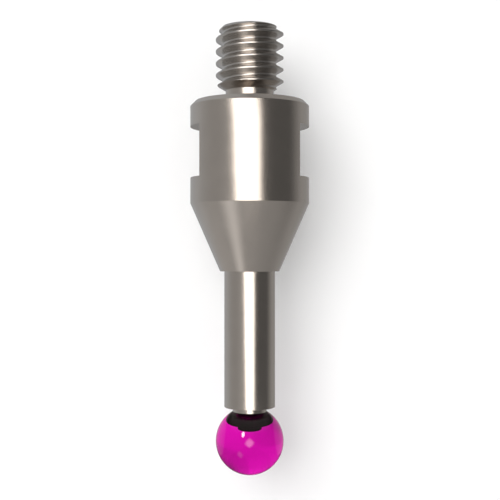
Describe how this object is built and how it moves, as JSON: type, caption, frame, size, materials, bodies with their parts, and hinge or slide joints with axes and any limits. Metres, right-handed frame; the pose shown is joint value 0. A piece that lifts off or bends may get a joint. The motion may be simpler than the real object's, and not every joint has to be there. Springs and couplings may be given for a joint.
{
  "type": "cmm stylus",
  "caption": "Touch-probe stylus: threaded steel holder with two spanner flats and a taper, a slim stem and a ball tip of clear magenta ruby.",
  "frame": {"origin": "centre of the seating shoulder at the foot of the threaded stud", "axes": "+Z along the stud, away from the body; the stem and the ball hang along -Z; the two spanner flats face +X and -X"},
  "size_m": [0.007, 0.007, 0.0264],
  "materials": {
    "holder_steel": "turned and lightly polished stainless steel, warm grey",
    "stem_steel": "ground steel, warm grey",
    "ruby": "polished clear magenta ruby",
    "adhesive": "cured dark adhesive"
  },
  "bodies": {
    "root": {"threaded_holder": "holder_steel", "stem": "stem_steel", "ball": "ruby", "stem_adhesive": "adhesive", "ball_adhesive": "adhesive"}
  },
  "joints": []
}
